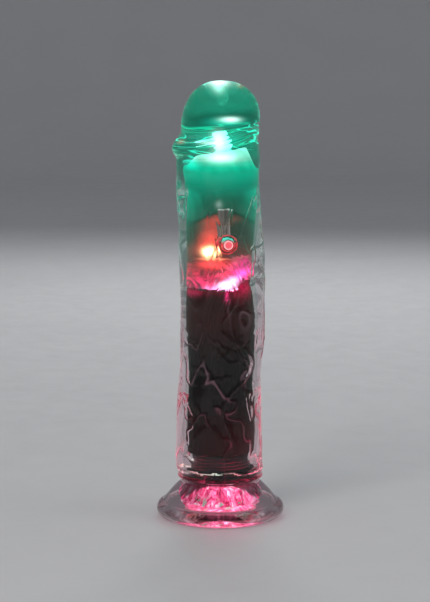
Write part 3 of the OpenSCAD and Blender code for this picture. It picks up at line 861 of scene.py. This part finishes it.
def sine(degrees):
    return np.sin(np.radians(degrees))


def body_rows():
    """The body's rings from foot to top: height, radius, share of the lean, sideways shift."""
    foot = [(FOOT_Z_MM, SHAFT_R_MM + 0.2, 0, 0), (FOOT_Z_MM + 0.5, SHAFT_R_MM + 0.6, 0, 0),
            (FOOT_Z_MM + 2.3, SHAFT_R_MM + 0.8, 0, 0)]
    shaft = [(z, SHAFT_R_MM + hump((z - 33) / 20) - 0.35 * hump((z - 70) / 9)
              + 0.45 * hump((z - 122) / 16) - 0.3 * hump((z - 165) / 12),
              0.35 * fade((z - 135) / 40), 0) for z in np.arange(26, 161, 5.6)]
    rim = [(RIM_Z_MM + z, SHAFT_R_MM + r, lean, shift) for z, r, lean, shift in (
        (-11.5, -0.1, 0.5, 0), (-7.2, -0.35, 0.85, -0.4), (-4.6, -0.5, 1, -1.1),
        (-3, 0.2, 1, -1.6), (-1.2, 0.65, 1, -2), (0.6, 0.6, 0.95, -2),
        (2.4, 0, 0.85, -1.5), (4.2, -1, 0.7, -0.9), (5.6, -1.5, 0.6, -0.3))]
    rise = TOP_Z_MM - LIP_Z_MM
    dome = [(LIP_Z_MM + rise * math.sin(a) ** DOME_FULLNESS,
             DOME_R_MM * math.cos(a) ** DOME_FULLNESS, 0.5 * (1 - math.sin(a)),
             0.45 * min(1, 1.6 * math.sin(a))) for a in np.radians(np.arange(8) * 11.25)]
    return smooth_rows(foot + shaft + rim + dome + [(TOP_Z_MM, 0, 0, 0.45)], RING_STEPS)


def ridge(x):
    """1 at 0, falling faster than a bell curve's foot, so that its sides are steep."""
    return 1 / (1 + x ** 4)


def surface_detail(angle, z):
    """Raised lines and short folds on the shaft, in mm, over a grid of angles and heights."""
    draw = np.random.default_rng(11)
    raised = np.zeros(np.broadcast(angle, z).shape)
    for _ in range(MEANDERS):
        start, swing, pitch, phase = draw.uniform((0, 0.12, 12, 0), (TURN, 0.38, 28, TURN))
        low, length, height, width = draw.uniform((20, 40, 0.4, 0.5), (100, 90, 0.75, 0.9))
        line = start + swing * np.sin(z / pitch * 2 + phase) + 0.3 * swing * np.sin(z / 4.7 + phase)
        off = (np.mod(angle - line + math.pi, TURN) - math.pi) * SHAFT_R_MM
        ends = fade((z - low) / 6) * fade((low + length - z) / 6)
        raised += height * ridge(off / width) * ends
    for _ in range(FOLDS):
        place, rise, slope, bend = draw.uniform((0, 27, -0.6, -0.14), (TURN, 156, 0.6, 0.14))
        span, height, width = draw.uniform((2.5, -0.5, 0.5), (8, 0.65, 1.0))
        off = (np.mod(angle - place + math.pi, TURN) - math.pi) * SHAFT_R_MM
        line = rise + slope * off + bend * off * off + 0.35 * np.sin(off * 1.3 + place)
        raised += height * ridge((z - line) / width) * hump(off / span)
    return raised * fade((z - 26) / 5) * (1 - fade((z - 154) / 10))


def ledge_height(angle):
    """The wavy height, in mm, of the step above the smooth foot."""
    return LEDGE_Z_MM + 0.45 * np.sin(3 * angle + 1) + 0.35 * np.sin(7 * angle) \
        + 0.22 * np.sin(13 * angle + 2) + 0.16 * np.sin(29 * angle)


def body_mesh():
    """The outer surface of the soft body as a closed mesh."""
    rows = body_rows()[:-1]
    z, radius, lean, shift = (column[:, None] for column in rows.T)
    angle = TURN * np.arange(BODY_SIDES)[None, :] / BODY_SIDES
    turn = np.degrees(angle)
    waves = RELIEF_MM * (sine(3 * turn + 4 * z) + 0.7 * sine(5 * turn - 7 * z)
                         + 0.5 * sine(2 * turn - 11 * z))
    waves = waves * fade((z - 24) / 12) * (1 - fade((z - 158) / 10))
    ledge = ledge_height(angle)
    step = -0.4 * (1 - fade((z - ledge) / 0.7)) * fade((z - FOOT_Z_MM - 0.5) / 1.5) \
        + 0.3 * hump((z - ledge - 0.4) / 0.5)
    on_rim = hump((z - RIM_Z_MM - 0.5) / 4.2)
    creases = on_rim * (0.16 * np.sin(z * 2.9 + 1.6 * np.sin(angle * 2))
                        + 0.12 * np.sin(angle * 5 + z * 0.8))
    puckers = 0.13 * hump((z - RIM_Z_MM + 9) / 5) * np.sin(17 * angle + 2 * np.sin(4 * angle))
    r = radius + (waves + surface_detail(angle, z) + step + creases + puckers) \
        * fade(radius / 10)
    axis = SWAY_MM * sine(360 * (z - 64) / 138) * fade((z - FOOT_Z_MM) / 13) \
        * (1 - fade((z - 168) / 16))
    off = shift + axis
    high_side = np.cos(angle - RIM_DIR)
    lift = lean * RIM_LEAN_MM * (high_side + 0.3 * high_side ** 2) * r / SHAFT_R_MM
    points = np.stack([r * np.cos(angle) + off * math.cos(RIM_DIR),
                       r * np.sin(angle) + off * math.sin(RIM_DIR), z + lift], -1)
    points = points.reshape(-1, 3) * MM
    count = len(rows)
    crown = len(points)
    last = (count - 1) * BODY_SIDES
    faces = tube_faces(count, BODY_SIDES)
    faces += [(last + k, last + (k + 1) % BODY_SIDES, crown) for k in range(BODY_SIDES)]
    faces.append(tuple(range(BODY_SIDES)))
    return mesh_object("clear_body", np.vstack([points, [(0, 0, BODY_HIGH.z)]]), faces)


def hollow_mesh(bore):
    """The hollow that the light unit stands in, with room above it to rise."""
    rise, neck, lamp = UNIT_RISE_MM * MM, NECK_R_MM * MM, LAMP_R_MM * MM
    shoulder_z = SHOULDER_Z_MM * MM + rise
    ledge_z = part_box("capsule_crown")[1].z + rise
    lamp_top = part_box("head_led")[1].z + 0.3 * MM
    bevel = 0.3 * MM
    outline = [(0, BODY_LOW.z - MM), (bore, BODY_LOW.z - MM), (bore, shoulder_z),
               (neck + bevel, ledge_z - bevel), (neck - bevel, ledge_z), (lamp, ledge_z)]
    outline += arc((0, lamp_top), lamp, 0, 80, 8) + [(0, lamp_top + lamp)]
    return lathe("hollow", outline, 96)


def make_body():
    bore = TUBE_HIGH.x + 0.15 * MM
    bezel_r = BEZEL_R - 1.6 * MM + CLEAR_MM * MM
    flange_r = BEZEL_R + CLEAR_MM * MM
    body = body_mesh()
    carve(body, [hollow_mesh(bore)] + [
        along_y(name, radius, front * MM, back * MM) for name, radius, (front, back) in (
            ("hole", bezel_r, HOLE_MM), ("seat", flange_r, SEAT_MM),
            ("stem_hole", STEM_HOLE_R_MM * MM, STEM_HOLE_MM))])
    sharpen(body, 50)
    body.data.materials.clear()
    for material in (soft_gum(), wetted_face("gum_bore", (0.985, 0.995, 0.99)),
                     wetted_face("gum_seat", (0.97, 0.985, 0.985), 0.6), lit_ledge()):
        body.data.materials.append(material)
    at = face_centres(body)
    from_axis = np.hypot(at[:, 0], at[:, 1])
    in_bore = (from_axis < bore + 0.1 * MM) & (at[:, 2] > BODY_LOW.z + 0.1 * MM) \
        & (at[:, 2] < BORE_TOP_MM * MM)
    from_button = np.hypot(at[:, 0], at[:, 2] - BUTTON_Z)
    in_hole = (from_button < flange_r + 0.05 * MM) & (at[:, 1] < 0) & (from_axis > bore) \
        & (from_axis < (SHAFT_R_MM - 0.4) * MM)
    ledge = ledge_height(np.arctan2(at[:, 1], at[:, 0])) * MM
    on_ledge = (np.abs(at[:, 2] - ledge) < 0.4 * MM) & (from_axis > (SHAFT_R_MM - 1.6) * MM)
    paint_faces(body, np.where(in_bore, 1, np.where(in_hole, 2, np.where(on_ledge, 3, 0))))
    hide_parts("soft_body")
    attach(body, "body")


# ---- the suction base ----

BASE_SIDES = 192
CUP_R_MM, CUP_DEEP_MM = 23, 6
ROLL_R_MM = 4.05           # the radius of the flange's rolled edge
CORE_NECK_R_MM, CORE_NECK_Z_MM = 9.6, 17.5


def make_base():
    """The clear base: a hollow cup below, a rolled flange, and a pocket round the core."""
    gap, roll = CLEAR_MM * MM, ROLL_R_MM * MM
    cup_r, cup_deep = CUP_R_MM * MM, CUP_DEEP_MM * MM
    cup_ball = (cup_r ** 2 + cup_deep ** 2) / (2 * cup_deep)
    half = math.degrees(math.asin(cup_r / cup_ball))
    under = arc((0, cup_deep - cup_ball), cup_ball, 90, 90 - half, 20)
    lip = arc((BASE_HIGH.x - roll, roll), roll, -90, 74, 26)
    slope = smooth_rows([(27.15, 8.25), (26.75, 8.7), (25.3, 10.3), (23.3, 12.7), (20.7, 15.4),
                         (19.05, 16.9), (18.62, 17.9), (18.6, 18.6), (18.35, 19.0)], 4) * MM
    foot_r, foot_z, neck_r = CORE_HIGH.x, CORE_LOW.z, CORE_NECK_R_MM * MM
    pocket = [(neck_r + gap, BASE_HIGH.z), (neck_r + gap, CORE_NECK_Z_MM * MM),
              (foot_r + gap, foot_z + 0.5 * MM), (foot_r - 0.3 * MM, foot_z - gap),
              (foot_r - 6.5 * MM, foot_z + 1.7 * MM - gap), (0, foot_z + 2.4 * MM - gap)]
    outside = under + lip + [tuple(p) for p in slope]
    base = lathe("clear_base", outside + pocket, BASE_SIDES)
    sharpen(base, 45)
    base.data.materials.append(base_gum())
    base.data.materials.append(wetted_face("base_pocket", (0.99, 0.95, 0.965), 0.15))
    rows = np.arange(len(base.data.polygons)) // BASE_SIDES
    paint_faces(base, np.where(rows >= len(outside) - 1, 1, 0))
    base.data.polygons[-1].material_index = 1
    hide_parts("suction_base")
    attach(base, "base")


# ---- the button's spring ----

WIRE_R_MM, WIRE_CLEAR_MM = 0.15, 0.02
WIRE_SIDES, COIL_TURNS, COIL_STEPS = 10, 3.6, 220


def make_button_spring():
    """The button's return spring between the bezel's ledge and the button, built at one length; the
    real spring shortens when the button is pressed.
    """
    low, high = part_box("button_spring")
    wire, clear = WIRE_R_MM * MM, WIRE_CLEAR_MM * MM
    coil = (high.x - low.x) / 2 - wire
    front, back = low.y + wire + clear, high.y - wire - clear
    along = np.linspace(0, 1, COIL_STEPS)[:, None]
    around = TURN * np.arange(WIRE_SIDES)[None, :] / WIRE_SIDES
    angle = TURN * COIL_TURNS * along
    r = coil + wire * np.cos(around)
    points = np.stack([r * np.cos(angle), front + (back - front) * along + wire * np.sin(around),
                       BUTTON_Z + r * np.sin(angle)], -1).reshape(-1, 3)
    faces = tube_faces(COIL_STEPS, WIRE_SIDES)
    faces += [tuple(range(WIRE_SIDES)), tuple(range(len(points) - WIRE_SIDES, len(points)))]
    spring = mesh_object("return_spring", points, faces)
    spring.data.materials.append(steel("spring_wire"))
    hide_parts("button_spring")
    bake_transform(spring)


# ---- the cloth round the cell ----

CLOTH_ROWS, CLOTH_COLUMNS = 110, 260
CLOTH_THICK_MM = 0.35
CLOTH_R_MM = 10.6
CLOTH_TURNS, SEAM_ANGLE = 1.06, 1.7
LOW_EDGE_MM, PEAK_MM, PEAK_ANGLE = 109.1, 5.2, 0.14


def torn_edge(angle):
    """How high the torn top of the cloth stands, in mm, at an angle round the cell."""
    draw = np.random.default_rng(5)
    fray = sum(size * np.sin(angle * count + phase) for size, count, phase in zip(
        (0.3, 0.3, 0.3, 0.25, 0.2), (5, 11, 19, 37, 61), draw.uniform(0, TURN, 5)))
    teeth = np.abs(np.sin(angle * 27 + 2 * np.sin(angle * 5))) ** 3
    from_peak = np.abs(np.degrees(np.mod(angle + PEAK_ANGLE + math.pi, TURN) - math.pi))
    return LOW_EDGE_MM + PEAK_MM * (1 - fade((from_peak - 35) / 25)) + fray + 0.8 * teeth


def make_cloth():
    """A strip of felt rolled a little over once round the cell, torn along its top."""
    share = np.linspace(0, 1, CLOTH_COLUMNS)[None, :]
    up = np.linspace(0, 1, CLOTH_ROWS)[:, None]
    angle = SEAM_ANGLE + TURN * CLOTH_TURNS * share
    low = WRAP_LOW.z / MM + 0.1
    z = low + (torn_edge(angle) - low) * up
    fold = 0.09 * np.sin(angle * 9 + 9 * up) + 0.06 * np.sin(angle * 23 - 14 * up + 1) \
        + 0.05 * np.sin(40 * up + 3 * np.sin(angle * 2))
    tucked = -0.5 * fade((share - 0.93) / 0.03)
    at_top = fade((z - 107.2) / 2.4)
    curl = 0.1 * at_top * np.sin(angle * 31 + 4 * up)
    r = (CLOTH_R_MM - 0.4 * at_top + fold * (1 - 0.4 * at_top) + tucked + curl) * MM
    points = np.stack([r * np.cos(angle), r * np.sin(angle), z * MM], -1).reshape(-1, 3)
    cloth = mesh_object("cell_cloth", points, tube_faces(CLOTH_ROWS, CLOTH_COLUMNS, False))
    thick = cloth.modifiers.new("thick", "SOLIDIFY")
    thick.thickness = CLOTH_THICK_MM * MM
    thick.offset = 1.0
    cloth.data.materials.append(dark_felt())
    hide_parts("cell_wrap")
    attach(cloth, "light_unit")


# ---- the stage ----

def make_stage():
    """A pale floor that sweeps up into a wall all round."""
    flat, wall_r, wall_h, thick = 2.2, 3.0, 2.4, 0.02
    bend = wall_r - flat
    outline = [(0, 0), (0.5, 0), (1.2, 0), (flat, 0)] + arc((flat, bend), bend, -80, 0, 16)
    outline += [(wall_r, wall_h), (wall_r + thick, wall_h), (wall_r + thick, -thick),
                (0, -thick)]
    floor = lathe("stage_floor", outline, 96)
    sharpen(floor, 60)
    floor.data.materials.append(studio_floor())


# ---- the frame's own nodes ----

def dress_nodes():
    """Gives each frame node that shows as it is its material."""
    for material, *nodes in (
            (lit_core(), "base_core"),
            (smoked_boss(), "thread_boss"),
            (solder_mask("disc_board", (520, 700, 520)),
             "contact_board", "head_board", "rose_board"),
            (lit_lamp("base_lamp", (1, 0.2, 0.4), (1, 0.8, 0.9), 3.0, middle("base_led")),
             "base_led"),
            (metal("gold_plate", (0.95, 0.73, 0.36), (0.8, 0.55, 0.24), 0.2, (1, 1, 3)),
             "contact_spring", "contact_pad", "positive_spring"),
            (moulded("seal_rubber", (0.02, 0.02, 0.021), 0.6), "boss_seal"),
            (bezel_plastic(), "button_bezel"),
            (button_cap(), "push_button"),
            (steel("steel"), "button_clip", "switch_bracket", "board_screws"),
            (capsule_plastic(), "capsule_tube"),
            (frosted_crown(), "capsule_crown"),
            (clear_plastic("clear_seal", (0.5, 0.92, 0.8)), "crown_seal"),
            (frosted_sleeve(), "diffuser"),
            (lit_lamp("green_lamp", (0.25, 1.0, 0.78), (0.85, 1.0, 0.96), 4.5, HEAD_LAMP),
             "head_led"),
            (metal("tinned", (0.72, 0.73, 0.74), (0.5, 0.5, 0.5), 0.3), "head_leads"),
            (frosted_shade(), "reflector"),
            (lit_guide(), "light_guide"),
            (moulded("boot", (0.5, 0.08, 0.1), 0.5), "switch_boot"),
            (moulded("black_plastic", (0.022, 0.022, 0.025), 0.42),
             "switch_stem", "tact_switch", "spine_parts"),
            (lamp_plate(), "amber_board"),
            (lit_lamp("amber_lamp", (1, 0.3, 0.06), HOT, 6.0, AMBER_LAMP), "amber_led"),
            (clear_plastic("clear_plastic", (0.97, 0.99, 0.985)), "board_standoffs"),
            (lit_lamp("rose_lamp", (1, 0.25, 0.6), (1, 0.85, 0.97), 3.2, ROSE_LAMP), "rose_led"),
            (cell_sleeve(), "battery_cell"),
            (solder_mask("spine_mask", (430, 520, 430)), "spine_board")):
        for node in nodes:
            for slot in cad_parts[node].material_slots:
                slot.material = material


def set_light_paths():
    """Enough bounces for the clear walls that lie behind one another, and plain tones."""
    cycles = bpy.context.scene.cycles
    cycles.max_bounces = 32
    cycles.transmission_bounces = 24
    cycles.glossy_bounces = 6
    cycles.diffuse_bounces = 4
    cycles.transparent_max_bounces = 64
    bpy.context.scene.view_settings.view_transform = "Standard"


add_camera()
add_lights()
make_stage()
dress_nodes()
make_base()
make_body()
make_button_spring()
make_cloth()
set_light_paths()
